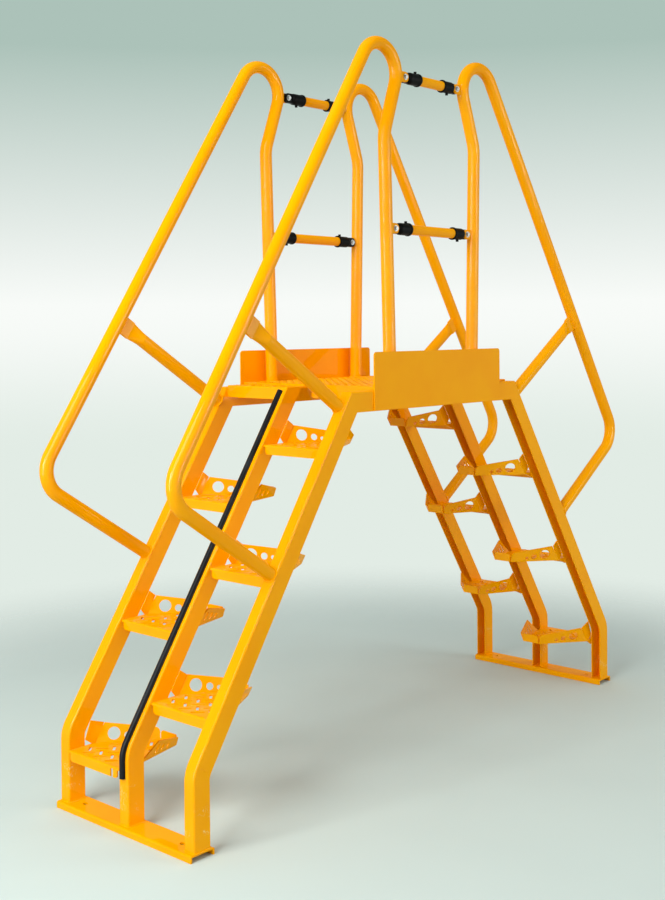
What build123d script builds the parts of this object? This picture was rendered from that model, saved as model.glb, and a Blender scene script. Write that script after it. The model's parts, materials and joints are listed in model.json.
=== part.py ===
"""Alternating tread crossover ladder: two flights, a platform and four handrails.

X runs along the crossing, Y across the ladder, Z up. The origin is on the floor under the
middle of the platform. The west flight goes down towards -X. The east flight is the west one
turned half a turn about Z.
"""
import math
import os

from build123d import *

os.makedirs("parts", exist_ok=True)

# Heights and slope
DECK_TOP = 1250.0
RISES = 7
RISE = DECK_TOP / RISES
SLOPE_DEG = 56.7
KNEE_Z = 235.0

# Stringers, three to a flight
STRINGER_PITCH = 280.0
STRINGER_WIDTH = 42.0
STRINGER_DEPTH = 59.0
STRINGER_WALL = 4.0
LEG_FRONT_X = 1119.0
KNEE_INNER_R = 40.0

# Outer radius of the folds in channel and in plate
FOLD_R = 6.0
PLATE_FOLD_R = 5.0
PLATE_INNER_R = 1.0

# Base channels
BASE_HEIGHT = 20.0
BASE_WIDTH = 87.0
BASE_HALF_LENGTH = 302.5
BASE_WALL = 5.0
ANCHOR_HOLE_D = 16.0
ANCHOR_HOLE_Y = 219.0

# Platform
BEAM_BOTTOM = 1178.0
BEAM_TOP = 1244.0
BEAM_WALL = 4.0
DECK_SETBACK_X = 335.0
DECK_LIP_DROP = 40.0
DECK_LIP_T = 6.0
TOP_PLATE_T = 5.0
TOE_HALF_LENGTH = 349.0
TOE_BOTTOM = 1180.0
TOE_TOP = 1365.0
TOE_T = 4.0
TOE_CORNER_R = 12.0

# Treads: depths run back from the stringers' front face, sides run from the climber's left
TREAD_T = 4.0
LIP_SETBACK = 8.0
LIP_DROP = 30.0
LIP_END_GAP = 8.0
LIP_CORNER_R = 10.0
LIP_SLIT_SIDE = 199.0
LIP_SLIT_W = 12.0
HEEL_DEPTH = 252.0
HEEL_LEFT_SIDE = 106.0
HEEL_RIGHT_SIDE = 178.0
LEFT_HEEL_SHIFT = -18.0
RIGHT_HEEL_SHIFT = 28.0
LEFT_EDGE_BEHIND = 34.0
RIGHT_EDGE_BEHIND = 22.0
RISER_LEAN_DEG = 18.0
RISER_FULL_H = 58.0
RISER_FULL_AT = 33.0
RISER_END_H = 33.0
RISER_END_R = 16.0
RISER_HOLES = [(61.0, 24.0, 38.0), (103.0, 15.5, 22.0), (131.0, 9.5, 13.5)]
BAND_H = 26.0
BAND_R = 10.0
BAND_SLIT = 3.0
WING_LEAN_DEG = 28.0
WING_FRONT_H = 58.0
WING_FRONT_AT = 126.0
WING_REAR_H = 29.0
WING_REAR_AT = 9.0
WING_CORNER_R = 6.0
WING_SLOTS = [(56.0, 7.0, 25.0), (86.0, 7.0, 34.0), (116.0, 7.0, 43.0)]
WING_SLOT_W = 11.0
TAB_TOP_H = 72.0
TAB_FOOT_H = 18.0
GUSSET_DROP = 22.0

# Handrails
RAIL_OD = 42.2
RAIL_WALL = 3.6
RAIL_INSET = 11.0
POST_FOOT_X = 226.0
KINK_X = 249.0
KINK_Z = 2070.0
LEAN_DEG = 19.2
RAIL_OFFSET = 491.0
RUN_DEG = 57.14
ARM_Z = 727.0
TOP_BEND_R = 89.0
LOW_BEND_R = 90.0
KINK_R = 120.0

# Braces
BRACE_LOW_Z = 1198.0
BRACE_FLAT_T = 8.0
BRACE_FLAT_W = 58.0
BRACE_FLAT_L = 34.0
BRACE_TAPER_L = 48.0

# Cross bars and their end sockets
BAR_OD = 33.4
BAR_WALL = 3.4
BAR_INSET = 4.0
TOP_BAR_Z = 2265.0
MID_BAR_Z = 1765.0
TOP_BOLT_X = 143.0
MID_BOLT_X = 199.0
SOCKET_OD = 40.0
SOCKET_L = 60.0
SOCKET_DEPTH = 42.0
SOCKET_BACK_R = 12.0
COLLAR_OD = 44.0
COLLAR_L = 9.0
COLLAR_EDGE_R = 2.5
EAR_T = 12.0
EAR_W = 34.0
EAR_END = 15.0
EAR_CORNER_R = 14.0
KNOB_D = 10.0
KNOB_H = 5.0
UPPER_KNOB_FROM_MOUTH = 15.0
LOWER_KNOB_FROM_MOUTH = 32.0
LUG_T = 6.0
LUG_W = 34.0
LUG_END_GAP = 2.0
BAR_BOLT_D = 9.0

# Rubber strips
STRIP_WIDTH = 19.0
STRIP_HEIGHT = 11.0
STRIP_ROUND = 8.0
STRIP_BOTTOM_Z = 157.0
STRIP_TOP_Z = 1238.0
STRIP_KNEE_R = 92.0

# Gap left between curved faces of two pieces
CURVED_GAP = 0.3

# How far a cutting body reaches past what it cuts
PAST = 60.0

TAN = math.tan(math.radians(SLOPE_DEG))
SIN = math.sin(math.radians(SLOPE_DEG))
COS = math.cos(math.radians(SLOPE_DEG))
INNER = STRINGER_PITCH - STRINGER_WIDTH / 2
OUTER = STRINGER_PITCH + STRINGER_WIDTH / 2
TREAD_WIDTH = STRINGER_PITCH - STRINGER_WIDTH
LEG_CENTRE_X = LEG_FRONT_X - STRINGER_DEPTH / 2
PLATE_TOP = DECK_TOP + TOP_PLATE_T
RAIL_Y = STRINGER_PITCH - RAIL_INSET
SOCKET_FROM_BOLT = LUG_W / 2 + LUG_END_GAP


def slope_x(z, inset=0.0):
    """X on the west flight's slope at height z, set in square to the front face."""
    return -LEG_FRONT_X + (z - KNEE_Z) / TAN + inset / SIN


def knee_z(inset):
    """Height where the set-in slope line meets the set-in leg line."""
    return KNEE_Z - inset * (1 - SIN) / COS


def side_solid(points, width, y=0.0):
    """Prism from X-Z points, width wide and centred on y."""
    with BuildSketch(Plane.XZ.offset(-y)) as profile:
        with BuildLine():
            Polyline(*points, close=True)
        make_face()
    return extrude(profile.sketch, amount=width / 2, both=True)


def rounded_side_solid(points, radii, width, y=0.0):
    """Side prism with chosen corners rounded; radii is one value per point, 0 for sharp."""
    with BuildSketch(Plane.XZ.offset(-y)) as profile:
        with BuildLine():
            Polyline(*points, close=True)
        make_face()
        for point, radius in zip(points, radii):
            if radius > 0:
                corner = profile.vertices().sort_by_distance((point[0], point[1], 0))[0]
                fillet(corner, radius)
    return extrude(profile.sketch, amount=width / 2, both=True)


def turned(shape):
    """The same piece on the east flight."""
    return shape.rotate(Axis.Z, 180)


def save(shape, name):
    solids = shape.solids()
    body = solids[0] if len(solids) == 1 else Compound(children=list(solids))
    export_step(body, f"parts/{name}.step")


def front_gap(point):
    """How far a point lies behind the west stringers' front face."""
    return min(point.X + LEG_FRONT_X, (point.X - slope_x(point.Z)) * SIN)


def front_edges(body, y, width, nearer_than):
    """The two long edges of a stringer-like body that follow its front face."""
    sides = [e for e in body.edges() if abs(abs((e @ 0.5).Y - y) - width / 2) < 0.01]
    return [e for e in sides if front_gap(e @ 0.5) < nearer_than]


def stringer(y, outer):
    """Bent channel, web to the front with folded corners, open at the back."""
    depth = STRINGER_DEPTH
    wall = STRINGER_WALL
    front_knee_r = KNEE_INNER_R + depth
    rear_z = BEAM_BOTTOM if outer else BEAM_TOP
    body = rounded_side_solid(
        [
            (-LEG_FRONT_X, BASE_HEIGHT),
            (-LEG_FRONT_X, KNEE_Z),
            (slope_x(BEAM_TOP), BEAM_TOP),
            (slope_x(rear_z, depth), rear_z),
            (-LEG_FRONT_X + depth, knee_z(depth)),
            (-LEG_FRONT_X + depth, BASE_HEIGHT),
        ],
        [0, front_knee_r, 0, 0, KNEE_INNER_R, 0],
        STRINGER_WIDTH,
        y,
    )
    body = fillet(front_edges(body, y, STRINGER_WIDTH, depth / 4), FOLD_R)
    past = depth + PAST / 4
    room = rounded_side_solid(
        [
            (-LEG_FRONT_X + wall, BASE_HEIGHT - PAST),
            (-LEG_FRONT_X + wall, knee_z(wall)),
            (slope_x(BEAM_TOP + PAST, wall), BEAM_TOP + PAST),
            (slope_x(BEAM_TOP + PAST, past), BEAM_TOP + PAST),
            (-LEG_FRONT_X + past, knee_z(past)),
            (-LEG_FRONT_X + past, BASE_HEIGHT - PAST),
        ],
        [0, front_knee_r - wall, 0, 0, KNEE_INNER_R / 2, 0],
        STRINGER_WIDTH - 2 * wall,
        y,
    )
    return body - room


def base_channel():
    """Channel across the three feet, web up, with the two anchor holes."""
    body = Pos(-LEG_CENTRE_X, 0, BASE_HEIGHT / 2) * Box(BASE_WIDTH, 2 * BASE_HALF_LENGTH, BASE_HEIGHT)
    body = fillet(body.edges().filter_by(Axis.Y).group_by(Axis.Z)[-1], FOLD_R)
    room_h = BASE_HEIGHT - BASE_WALL + PAST
    body -= Pos(-LEG_CENTRE_X, 0, BASE_HEIGHT - BASE_WALL - room_h / 2) * Box(
        BASE_WIDTH - 2 * BASE_WALL, 2 * BASE_HALF_LENGTH + PAST, room_h
    )
    for y in (-ANCHOR_HOLE_Y, ANCHOR_HOLE_Y):
        body -= Pos(-LEG_CENTRE_X, y, BASE_HEIGHT) * Cylinder(ANCHOR_HOLE_D / 2, 4 * BASE_WALL)
    return body


def side_beam(sign):
    """Platform side channel, web up, mitred to the two outer stringers."""
    y = sign * STRINGER_PITCH
    x_top = -slope_x(BEAM_TOP)
    x_low = -slope_x(BEAM_BOTTOM, STRINGER_DEPTH)
    body = side_solid(
        [(-x_top, BEAM_TOP), (x_top, BEAM_TOP), (x_low, BEAM_BOTTOM), (-x_low, BEAM_BOTTOM)],
        STRINGER_WIDTH,
        y,
    )
    body = fillet(body.edges().filter_by(Axis.X).group_by(Axis.Z)[-1], FOLD_R)
    room_h = BEAM_TOP - BEAM_WALL - BEAM_BOTTOM + PAST
    room = Pos(0, y, BEAM_TOP - BEAM_WALL - room_h / 2) * Box(
        2 * x_top + PAST, STRINGER_WIDTH - 2 * BEAM_WALL, room_h
    )
    return body - room


def deck():
    """Pan with a nose over each flight's left column and lips folded down in front."""
    thick = DECK_TOP - BEAM_TOP
    nose = -slope_x(DECK_TOP)
    half = STRINGER_WIDTH / 2
    outline = [
        (-DECK_SETBACK_X, OUTER),
        (-DECK_SETBACK_X, INNER),
        (-nose, INNER),
        (-nose, -half),
        (-DECK_SETBACK_X, -half),
        (-DECK_SETBACK_X, -OUTER),
    ]
    outline += [(-x, -y) for x, y in outline]
    with BuildSketch(Plane.XY.offset(BEAM_TOP)) as plan:
        with BuildLine():
            Polyline(*outline, close=True)
        make_face()
    body = extrude(plan.sketch, amount=thick)
    lip_w = INNER - half
    for turn in (0, 180):
        front = Pos(-nose + DECK_LIP_T / 2, STRINGER_PITCH / 2, DECK_TOP - DECK_LIP_DROP / 2) * Box(
            DECK_LIP_T, lip_w, DECK_LIP_DROP
        )
        back = Pos(-DECK_SETBACK_X + DECK_LIP_T / 2, -STRINGER_PITCH / 2, DECK_TOP - DECK_LIP_DROP / 2)
        back = back * Box(DECK_LIP_T, lip_w, DECK_LIP_DROP)
        for lip in (front, back):
            low = lip.edges().filter_by(Axis.X).group_by(Axis.Z)[0]
            body += fillet(low, LIP_CORNER_R).rotate(Axis.Z, turn)
    top_edges = body.edges().filter_by(Axis.Y).group_by(Axis.Z)[-1]
    ends = [e for e in top_edges if abs(abs((e @ 0.5).X) - nose) < 0.01]
    return fillet(ends, PLATE_FOLD_R)


def top_plate():
    """Raised-pattern plate that lies on the pan between the toe boards."""
    return Pos(0, 0, DECK_TOP + TOP_PLATE_T / 2) * Box(2 * DECK_SETBACK_X, 2 * OUTER, TOP_PLATE_T)


def toe_board(sign):
    """Flat board along one side of the platform with rounded top corners."""
    board = Pos(0, sign * (OUTER + TOE_T / 2), (TOE_BOTTOM + TOE_TOP) / 2) * Box(
        2 * TOE_HALF_LENGTH, TOE_T, TOE_TOP - TOE_BOTTOM
    )
    return fillet(board.edges().filter_by(Axis.Y).group_by(Axis.Z)[-1], TOE_CORNER_R)


def folded_up(start, end, lean_deg):
    """Plane of a flange folded up along start to end: x along the fold, y up, z inwards."""
    along = (end - start).normalized()
    out = Vector(0, 0, 1).cross(along)
    lean = math.radians(lean_deg)
    return Plane(origin=start, x_dir=along, z_dir=Vector(0, 0, math.sin(lean)) - out * math.cos(lean))


def flange(plane, points, radii, holes=(), slots=()):
    """Flat flange on a fold plane, with rounded corners, round holes and upright slots."""
    with BuildSketch(plane) as face:
        with BuildLine():
            Polyline(*points, close=True)
        make_face()
        for point, radius in zip(points, radii):
            if radius > 0:
                fillet(face.vertices().sort_by_distance((point[0], point[1], 0))[0], radius)
        for s, h, d in holes:
            with Locations((s, h)):
                Circle(d / 2, mode=Mode.SUBTRACT)
        for s, low, high in slots:
            with Locations((s, (low + high) / 2)):
                SlotOverall(high - low, WING_SLOT_W, rotation=90, mode=Mode.SUBTRACT)
    return extrude(face.sketch, amount=-TREAD_T)


def tread(z, heel_shift):
    """One formed tread at height z: x from the stringers' front, +y the climber's left, z 0 on top."""
    half = TREAD_WIDTH / 2
    on_leg = z < KNEE_Z
    lip_x = 0.0 if on_leg else LIP_SETBACK

    def rear(dz):
        """Depth of the stringers' rear edge, dz above the walking face."""
        if not on_leg:
            return STRINGER_DEPTH / SIN + dz / TAN
        above_knee = max(0.0, z + dz - knee_z(STRINGER_DEPTH))
        return STRINGER_DEPTH + above_knee / TAN

    left = Vector(rear(0) + LEFT_EDGE_BEHIND, half, 0)
    right = Vector(rear(0) + RIGHT_EDGE_BEHIND, -half, 0)
    heel_left = Vector(HEEL_DEPTH, half - HEEL_LEFT_SIDE + heel_shift, 0)
    heel_right = Vector(HEEL_DEPTH, half - HEEL_RIGHT_SIDE + heel_shift, 0)

    # Walking face, and the lip folded down at its front
    front_end = lip_x + 2 * TREAD_T
    with BuildSketch() as plan:
        with BuildLine():
            corners = [(front_end, half), (front_end, -half)]
            corners += [(p.X, p.Y) for p in (right, heel_right, heel_left, left)]
            Polyline(*corners, close=True)
        make_face()
    body = extrude(plan.sketch, amount=-TREAD_T)
    lip = rounded_side_solid(
        [
            (lip_x, -LIP_DROP),
            (lip_x, 0),
            (front_end, 0),
            (front_end, -TREAD_T),
            (lip_x + TREAD_T, -TREAD_T),
            (lip_x + TREAD_T, -LIP_DROP),
        ],
        [0, PLATE_FOLD_R, 0, 0, PLATE_INNER_R, 0],
        TREAD_WIDTH,
    )
    for side in (-1, 1):
        end = Pos(lip_x, side * half, -FOLD_R - LIP_DROP / 2) * Box(PAST, 2 * LIP_END_GAP, LIP_DROP)
        lip -= end
    lip = fillet(lip.edges().filter_by(Axis.X).group_by(Axis.Z)[0], LIP_CORNER_R)
    if on_leg:
        slit_y = half - LIP_SLIT_SIDE - LIP_SLIT_W / 2
        lip -= Pos(lip_x, slit_y, -FOLD_R - LIP_DROP / 2) * Box(PAST, LIP_SLIT_W, LIP_DROP)
    body += lip

    # Riser on the slanted rear edge, with graded holes
    length = (heel_left - left).length
    body += flange(
        folded_up(left, heel_left, RISER_LEAN_DEG),
        [
            (0, -TREAD_T),
            (length, -TREAD_T),
            (length, RISER_END_H),
            (RISER_FULL_AT, RISER_FULL_H),
            (0, TREAD_T),
        ],
        [0, 0, RISER_END_R, 0, 0],
        holes=RISER_HOLES,
    )

    # Upright band across the heel
    length = (heel_right - heel_left).length
    body += flange(
        folded_up(heel_left, heel_right, 0),
        [(0, -TREAD_T), (length, -TREAD_T), (length, BAND_H), (BAND_SLIT, BAND_H), (BAND_SLIT, 0), (0, 0)],
        [0, 0, 0, BAND_R, 0, 0],
    )

    # Slotted wing towards the right stringer
    length = (right - heel_right).length
    body += flange(
        folded_up(heel_right, right, WING_LEAN_DEG),
        [
            (0, -TREAD_T),
            (length - TREAD_T, -TREAD_T),
            (length - TREAD_T, TREAD_T),
            (WING_FRONT_AT, WING_FRONT_H),
            (WING_REAR_AT, WING_REAR_H),
            (0, 0),
        ],
        [0, 0, 0, WING_CORNER_R, WING_CORNER_R, 0],
        slots=WING_SLOTS,
    )

    # Tab along the left stringer's rear edge, folded from the riser, and the gusset under it
    head = folded_up(left, heel_left, RISER_LEAN_DEG).from_local_coords((RISER_FULL_AT, RISER_FULL_H, 0))
    body += side_solid(
        [
            (rear(TAB_FOOT_H) + CURVED_GAP, TAB_FOOT_H),
            (rear(TAB_TOP_H) + CURVED_GAP, TAB_TOP_H),
            (head.X, head.Z),
            (left.X, -TREAD_T),
            (left.X - TREAD_T, -TREAD_T),
        ],
        TREAD_T,
        half - TREAD_T / 2,
    )
    body += side_solid(
        [
            (rear(0) + CURVED_GAP, 0),
            (left.X, 0),
            (left.X, -TREAD_T),
            (rear(-GUSSET_DROP) + TREAD_T, -GUSSET_DROP),
            (rear(-GUSSET_DROP) + CURVED_GAP, -GUSSET_DROP),
        ],
        TREAD_T,
        half - TREAD_T / 2,
    )
    # Nothing stands past the left stringer's side
    keep = Pos(HEEL_DEPTH / 2, -half, 0) * Box(4 * HEEL_DEPTH, 2 * TREAD_WIDTH, 4 * HEEL_DEPTH)
    return body & keep


def rounded_path(points, radii):
    """Polyline in 3-D with arcs at the inner points."""
    points = [Vector(*p) for p in points]
    pieces = []
    start = points[0]
    for i in range(1, len(points) - 1):
        corner = points[i]
        back = (points[i - 1] - corner).normalized()
        ahead = (points[i + 1] - corner).normalized()
        angle = math.radians(back.get_angle(ahead))
        reach = radii[i - 1] / math.tan(angle / 2)
        enter = corner + back * reach
        leave = corner + ahead * reach
        centre_way = (back + ahead).normalized()
        centre = corner + centre_way * (radii[i - 1] / math.sin(angle / 2))
        middle = centre - centre_way * radii[i - 1]
        pieces.append(Edge.make_line(start, enter))
        pieces.append(Edge.make_three_point_arc(enter, middle, leave))
        start = leave
    pieces.append(Edge.make_line(start, points[-1]))
    return Wire(pieces)


def tube(path, od, wall):
    """Tube swept along a wire."""
    start = Plane(origin=path @ 0, z_dir=path % 0)
    outer = sweep(start * Circle(od / 2), path=path)
    inner = sweep(start * Circle(od / 2 - wall), path=path)
    return outer - inner


def rail_lines():
    """Corner points of the west handrail's centre line in X and Z."""
    lean = math.tan(math.radians(LEAN_DEG))
    # The slope run is a little steeper than the stringer, and set out square to it at the brace
    run = 1 / math.tan(math.radians(RUN_DEG))
    at_x = slope_x(BRACE_LOW_Z) - RAIL_OFFSET * SIN
    at_z = BRACE_LOW_Z + RAIL_OFFSET * COS
    # Where the leaning post top meets the slope run
    apex_z = (-KINK_X - lean * KINK_Z - at_x + run * at_z) / (run - lean)
    apex_x = -KINK_X + lean * (apex_z - KINK_Z)
    # Where the arm, square to the stringer, meets it
    arm_x = slope_x(ARM_Z)
    reach = (arm_x - at_x + run * (at_z - ARM_Z)) / (SIN + run * COS)
    return (apex_x, apex_z), (arm_x - reach * SIN, ARM_Z + reach * COS), (arm_x, ARM_Z)


def skewed(shape, sign):
    """Turns a rail piece about its post, so that the arm ends on the stringer's middle."""
    reach = -slope_x(ARM_Z) - POST_FOOT_X
    skew = math.degrees(math.atan2(STRINGER_PITCH - RAIL_Y, reach))
    return shape.rotate(Axis((-POST_FOOT_X, sign * RAIL_Y, 0), (0, 0, 1)), -sign * skew)


def lug(x, z, y):
    """Lug plate from a post to its bolt, round at the bolt."""
    reach = 2 * RAIL_OD
    with BuildSketch(Plane.XZ.offset(-y)) as profile:
        with Locations((x, z)):
            Circle(LUG_W / 2)
        with Locations((x - reach / 2, z)):
            Rectangle(reach, LUG_W)
        with Locations((x, z)):
            Circle(BAR_BOLT_D / 2, mode=Mode.SUBTRACT)
    return extrude(profile.sketch, amount=LUG_T / 2, both=True)


def stringer_front(z, sign):
    """Plane on an outer stringer's front face at height z, facing out."""
    middle = (slope_x(z), sign * STRINGER_PITCH, z)
    return Plane(origin=middle, x_dir=(COS, 0, SIN), z_dir=(-SIN, 0, COS))


def handrail(sign):
    """West handrail on one side; sign +1 is the far side."""
    y = sign * RAIL_Y
    apex, low, arm = rail_lines()
    tilt = (KINK_X - POST_FOOT_X) / (KINK_Z - DECK_TOP)
    foot = (-POST_FOOT_X + tilt * PAST, y, DECK_TOP - PAST)
    path = rounded_path(
        [
            foot,
            (-KINK_X, y, KINK_Z),
            (apex[0], y, apex[1]),
            (low[0], y, low[1]),
            (arm[0] + PAST * SIN, y, arm[1] - PAST * COS),
        ],
        [KINK_R, TOP_BEND_R, LOW_BEND_R],
    )
    path = skewed(path, sign)
    body = tube(path, RAIL_OD, RAIL_WALL)
    body -= stringer_front(ARM_Z, sign) * Pos(0, 0, -PAST) * Box(4 * PAST, 4 * PAST, 2 * PAST)
    body -= Pos(-POST_FOOT_X, y, PLATE_TOP - 2 * PAST) * Box(4 * PAST, 2 * PAST, 4 * PAST)
    # Each lug is cut to the tube's outside, a little inside its wall, and ends at its middle line
    section = Plane(origin=path @ 0, z_dir=path % 0)
    core = sweep(section * Circle((RAIL_OD - RAIL_WALL) / 2), path=path)
    for x, z in ((-TOP_BOLT_X, TOP_BAR_Z), (-MID_BOLT_X, MID_BAR_Z)):
        plate = lug(x, z, y + sign * LUG_T / 2) - core
        nearest = plate.solids().sort_by_distance((x + LUG_W / 2, y, z))[0]
        body += nearest
    return body


def brace(sign):
    """Tube square to the stringer, from its top to the handrail's slope run, flat at the upper end."""
    low = Vector(slope_x(BRACE_LOW_Z), sign * RAIL_Y, BRACE_LOW_Z)
    plane = Plane(origin=low, x_dir=(0, 1, 0), z_dir=(-SIN, 0, COS))
    flat_from = RAIL_OFFSET - RAIL_OD / 2 - BRACE_FLAT_L
    taper_from = flat_from - BRACE_TAPER_L
    start = plane.offset(-PAST)
    round_part = extrude(start * Circle(RAIL_OD / 2), amount=taper_from + PAST)
    round_part -= extrude(start * Circle(RAIL_OD / 2 - RAIL_WALL), amount=taper_from + PAST)
    taper = loft(
        [
            plane.offset(taper_from) * Circle(RAIL_OD / 2),
            plane.offset(flat_from) * Ellipse(BRACE_FLAT_T / 2, BRACE_FLAT_W / 2),
        ]
    )
    flat_l = BRACE_FLAT_L - CURVED_GAP
    flat = extrude(plane.offset(flat_from) * Rectangle(BRACE_FLAT_T, BRACE_FLAT_W), amount=flat_l)
    body = skewed(round_part + taper + flat, sign)
    return split(body, bisect_by=stringer_front(BRACE_LOW_Z, sign), keep=Keep.TOP)


def socket(sign, x, z):
    """End socket on the +x side of a bolt: a barrel for the bar, a flat ear and a knob."""
    y = sign * RAIL_Y
    bar_y = y - sign * BAR_INSET
    mouth = x + SOCKET_FROM_BOLT + SOCKET_L
    along = Rot(0, 90, 0)
    barrel = Pos(mouth - SOCKET_L / 2, bar_y, z) * along * Cylinder(SOCKET_OD / 2, SOCKET_L)
    back = barrel.edges().filter_by(GeomType.CIRCLE).group_by(Axis.X)[0]
    barrel = fillet(back, SOCKET_BACK_R)
    collar = Pos(mouth - COLLAR_L / 2, bar_y, z) * along * Cylinder(COLLAR_OD / 2, COLLAR_L)
    barrel += fillet(collar.edges().filter_by(GeomType.CIRCLE), COLLAR_EDGE_R)
    knob_sign = -sign
    from_mouth = LOWER_KNOB_FROM_MOUTH if sign > 0 else UPPER_KNOB_FROM_MOUTH
    knob_h = COLLAR_OD / 2 + KNOB_H
    knob = Pos(mouth - from_mouth, bar_y, z + knob_sign * knob_h / 2) * Cylinder(KNOB_D / 2, knob_h)
    body = barrel + knob
    bore = Pos(mouth - SOCKET_DEPTH / 2, bar_y, z) * along
    body -= bore * Cylinder(BAR_OD / 2 + CURVED_GAP, SOCKET_DEPTH)

    ear_end = SOCKET_FROM_BOLT + SOCKET_BACK_R
    ear = Pos(x + (ear_end - EAR_END) / 2, y - sign * EAR_T / 2, z) * Box(ear_end + EAR_END, EAR_T, EAR_W)
    ear = fillet(ear.edges().filter_by(Axis.Y).group_by(Axis.X)[0], EAR_CORNER_R)
    body += ear
    return body - Pos(x, y, z) * Rot(90, 0, 0) * Cylinder(BAR_BOLT_D / 2, 4 * EAR_T)


def cross_bar(sign, bolt_x, z):
    """Bar between the two sockets."""
    length = 2 * (bolt_x - SOCKET_FROM_BOLT - SOCKET_L + SOCKET_DEPTH)
    place = Pos(0, sign * (RAIL_Y - BAR_INSET), z) * Rot(0, 90, 0)
    return place * Cylinder(BAR_OD / 2, length) - place * Cylinder(BAR_OD / 2 - BAR_WALL, length + PAST)


def rubber_strip():
    """Round-topped strip on the centre stringer's front face, round the knee."""
    out = STRIP_HEIGHT
    body = rounded_side_solid(
        [
            (-LEG_FRONT_X, STRIP_BOTTOM_Z),
            (-LEG_FRONT_X, KNEE_Z),
            (slope_x(STRIP_TOP_Z), STRIP_TOP_Z),
            (slope_x(STRIP_TOP_Z + out * COS, -out), STRIP_TOP_Z + out * COS),
            (-LEG_FRONT_X - out, knee_z(-out)),
            (-LEG_FRONT_X - out, STRIP_BOTTOM_Z),
        ],
        [0, STRIP_KNEE_R, 0, 0, STRIP_KNEE_R + out, 0],
        STRIP_WIDTH,
    )
    return fillet(front_edges(body, 0.0, STRIP_WIDTH, -out / 2), STRIP_ROUND)


# Build and save every piece
def main():
    base = base_channel()
    save(base, "base_channel_west")
    save(turned(base), "base_channel_east")

    for name, y, outer in (
        ("left", STRINGER_PITCH, True),
        ("centre", 0.0, False),
        ("right", -STRINGER_PITCH, True),
    ):
        piece = stringer(y, outer)
        save(piece, f"stringer_west_{name}")
        save(turned(piece), f"stringer_east_{name}")

    for name, sign in (("far", 1), ("near", -1)):
        save(side_beam(sign), f"platform_beam_{name}")
        save(toe_board(sign), f"toe_board_{name}")
    save(deck(), "platform_deck")
    save(top_plate(), "platform_plate")

    for i in range(1, RISES):
        side = 1 if i % 2 == 1 else -1
        # The heel leans towards the centre stringer
        heel_shift = LEFT_HEEL_SHIFT if side > 0 else RIGHT_HEEL_SHIFT
        z = i * RISE
        x = -LEG_FRONT_X if z < KNEE_Z else slope_x(z)
        placed = Pos(x, side * STRINGER_PITCH / 2, z) * tread(z, heel_shift)
        save(placed, f"tread_west_{i}")
        save(turned(placed), f"tread_east_{i}")

    for name, sign in (("left", 1), ("right", -1)):
        rail = handrail(sign)
        save(rail, f"handrail_west_{name}")
        save(turned(rail), f"handrail_east_{name}")
        strut = brace(sign)
        save(strut, f"handrail_brace_west_{name}")
        save(turned(strut), f"handrail_brace_east_{name}")

    for name, sign in (("far", 1), ("near", -1)):
        for level, bolt_x, z in (("top", TOP_BOLT_X, TOP_BAR_Z), ("mid", MID_BOLT_X, MID_BAR_Z)):
            save(cross_bar(sign, bolt_x, z), f"cross_bar_{name}_{level}")
            west = socket(sign, -bolt_x, z)
            east = turned(socket(-sign, -bolt_x, z))
            save(Compound(children=[west, east]), f"bar_sockets_{name}_{level}")

    strip = rubber_strip()
    save(strip, "rubber_strip_west")
    save(turned(strip), "rubber_strip_east")


main()
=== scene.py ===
"""Alternating tread crossover ladder: looks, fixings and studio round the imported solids."""

import json
import math

import bmesh
import bpy
from mathutils import Matrix, Vector

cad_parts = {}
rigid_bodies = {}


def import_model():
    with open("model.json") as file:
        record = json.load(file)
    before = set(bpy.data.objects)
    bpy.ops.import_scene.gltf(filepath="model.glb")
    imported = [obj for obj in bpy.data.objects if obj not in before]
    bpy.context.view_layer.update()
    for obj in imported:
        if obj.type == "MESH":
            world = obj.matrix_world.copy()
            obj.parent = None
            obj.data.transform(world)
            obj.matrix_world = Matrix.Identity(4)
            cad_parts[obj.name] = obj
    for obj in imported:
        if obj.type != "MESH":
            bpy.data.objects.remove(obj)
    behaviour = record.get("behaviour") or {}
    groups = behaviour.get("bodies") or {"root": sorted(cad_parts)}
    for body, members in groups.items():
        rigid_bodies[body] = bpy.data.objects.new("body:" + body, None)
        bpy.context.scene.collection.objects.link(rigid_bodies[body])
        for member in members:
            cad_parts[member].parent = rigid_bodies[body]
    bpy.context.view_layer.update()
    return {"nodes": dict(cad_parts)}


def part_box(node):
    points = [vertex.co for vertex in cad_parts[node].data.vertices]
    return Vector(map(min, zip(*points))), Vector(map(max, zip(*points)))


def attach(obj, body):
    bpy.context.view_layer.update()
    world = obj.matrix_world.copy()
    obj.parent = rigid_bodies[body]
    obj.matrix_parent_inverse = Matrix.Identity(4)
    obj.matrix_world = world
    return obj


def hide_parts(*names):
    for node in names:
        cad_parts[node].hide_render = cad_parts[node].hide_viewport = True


# The start-up scene's own objects would count in the box
for start_up in list(bpy.data.objects):
    bpy.data.objects.remove(start_up)
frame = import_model()
NODES = frame["nodes"]

bl_info = {
    "name": "Crossover ladder",
    "version": (1, 0, 0),
    "blender": (4, 5, 0),
    "location": "3D View > Sidebar > Ladder",
    "description": "Paint, grip, fixings and studio of an alternating tread crossover ladder",
    "category": "Object",
}

FLIGHTS = ("west", "east")
TREADS = 6
DECK_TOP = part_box("platform_plate")[0].z
PLATE_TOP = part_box("platform_plate")[1].z
RISE = DECK_TOP / (TREADS + 1)

# Half the pitch of the stringers, and a stringer's half width, depth and fold
COLUMN = 0.140
STRINGER_HALF = 0.021
STRINGER_DEPTH = 0.059
FOLD = 0.006

# Slope of the stringers above the knee, the knee's height and the front of the legs
SLOPE = math.radians(56.7)
KNEE_Z = 0.235
LEG_FRONT = -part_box("stringer_west_left")[0].x

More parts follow.
